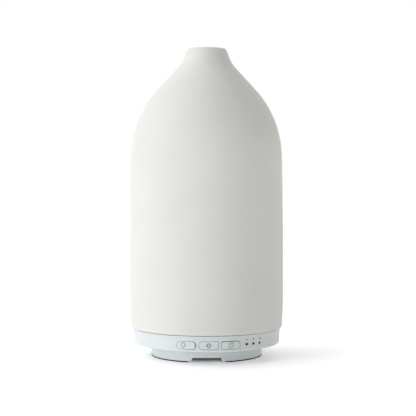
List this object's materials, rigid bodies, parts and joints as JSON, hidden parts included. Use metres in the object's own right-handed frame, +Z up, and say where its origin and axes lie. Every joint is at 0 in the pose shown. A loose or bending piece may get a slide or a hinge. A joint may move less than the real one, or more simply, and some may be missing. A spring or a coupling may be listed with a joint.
{
  "type": "essential oil diffuser",
  "caption": "Bottle-shaped ultrasonic oil diffuser: a matt ceramic cover lifts off a white plastic base with a water tank, mist maker, fan and front keys.",
  "frame": {"origin": "on the surface the diffuser stands on, under the axis of the cover", "axes": "+Z up along the axis of the cover; the keys face -Y, so +X is to the right for someone facing the keys"},
  "size_m": [0.085, 0.085, 0.1696],
  "materials": {
    "ceramic": "matt unglazed stoneware, warm white",
    "white_plastic": "fine satin moulded plastic, cool white",
    "key_plastic": "satin moulded key caps, cool white",
    "inner_plastic": "milky polypropylene",
    "tank_plastic": "milky translucent polypropylene",
    "rubber": "dark soft rubber",
    "silicone": "soft silicone",
    "steel": "zinc plated steel",
    "brass": "sintered bearing bronze",
    "disc_metal": "plated ultrasonic disc",
    "fan_plastic": "black glass-filled plastic",
    "duct_plastic": "dark grey moulded plastic",
    "copper": "enamelled copper windings",
    "board": "green solder-masked circuit board",
    "capacitor": "shrink-sleeved capacitor cans",
    "chip": "moulded epoxy chip bodies",
    "connector": "cream nylon connectors",
    "switch": "black switch bodies",
    "plunger": "cream switch plungers",
    "led": "clear-bodied lamps",
    "lens": "smoked light lenses",
    "black_plastic": "black socket moulding",
    "pin_metal": "nickel plated contact pin",
    "wire": "black wire insulation",
    "wire_red": "red wire insulation"
  },
  "bodies": {
    "base": {"base_housing": "white_plastic", "bottom_cover": "white_plastic", "foot_pads": "rubber", "case_screws": "steel", "water_tank": "tank_plastic", "tank_gasket": "rubber", "tank_screws": "steel", "transducer_disc": "disc_metal", "transducer_seal": "silicone", "transducer_clamp": "steel", "clamp_screws": "steel", "air_duct": "duct_plastic", "fan_frame": "fan_plastic", "fan_stator": "copper", "fan_bearing": "brass", "fan_screws": "steel", "main_board": "board", "board_screws": "steel", "capacitors": "capacitor", "drive_coil": "copper", "control_chips": "chip", "lead_connectors": "connector", "button_switches": "switch", "indicator_leds": "led", "indicator_lenses": "lens", "light_leds": "led", "dc_jack": "black_plastic", "dc_pin": "pin_metal", "fan_leads": "wire", "transducer_leads": "wire_red", "power_leads": "wire"},
    "cover": {"ceramic_cover": "ceramic"},
    "inner_cover": {"inner_cover": "inner_plastic"},
    "fan": {"fan_rotor": "fan_plastic", "fan_shaft": "steel"},
    "light_key": {"light_button": "key_plastic", "light_plunger": "plunger"},
    "mist_key": {"mist_button": "key_plastic", "mist_plunger": "plunger"},
    "timer_key": {"timer_button": "key_plastic", "timer_plunger": "plunger"}
  },
  "joints": [
    {"name": "cover_lift", "type": "slide", "parent": "base", "child": "cover", "axis": [0, 0, 1], "range_m": [0, 0.21]},
    {"name": "inner_cover_lift", "type": "slide", "parent": "base", "child": "inner_cover", "axis": [0, 0, 1], "range_m": [0, 0.06]},
    {"name": "fan_spin", "type": "hinge", "parent": "base", "child": "fan", "pos_m": [0, 0.0115, 0.0146], "axis": [0, 0, 1], "continuous": true},
    {"name": "light_press", "type": "slide", "parent": "base", "child": "light_key", "axis": [0.2924, 0.9563, 0], "range_m": [0, 0.0005], "stiffness_N_per_m": 300},
    {"name": "mist_press", "type": "slide", "parent": "base", "child": "mist_key", "axis": [0, 1, 0], "range_m": [0, 0.0005], "stiffness_N_per_m": 300},
    {"name": "timer_press", "type": "slide", "parent": "base", "child": "timer_key", "axis": [-0.2924, 0.9563, 0], "range_m": [0, 0.0005], "stiffness_N_per_m": 300}
  ],
  "couplings": [
    {"joint": "inner_cover_lift", "follows": "cover_lift", "ratio": 0.28571}
  ]
}
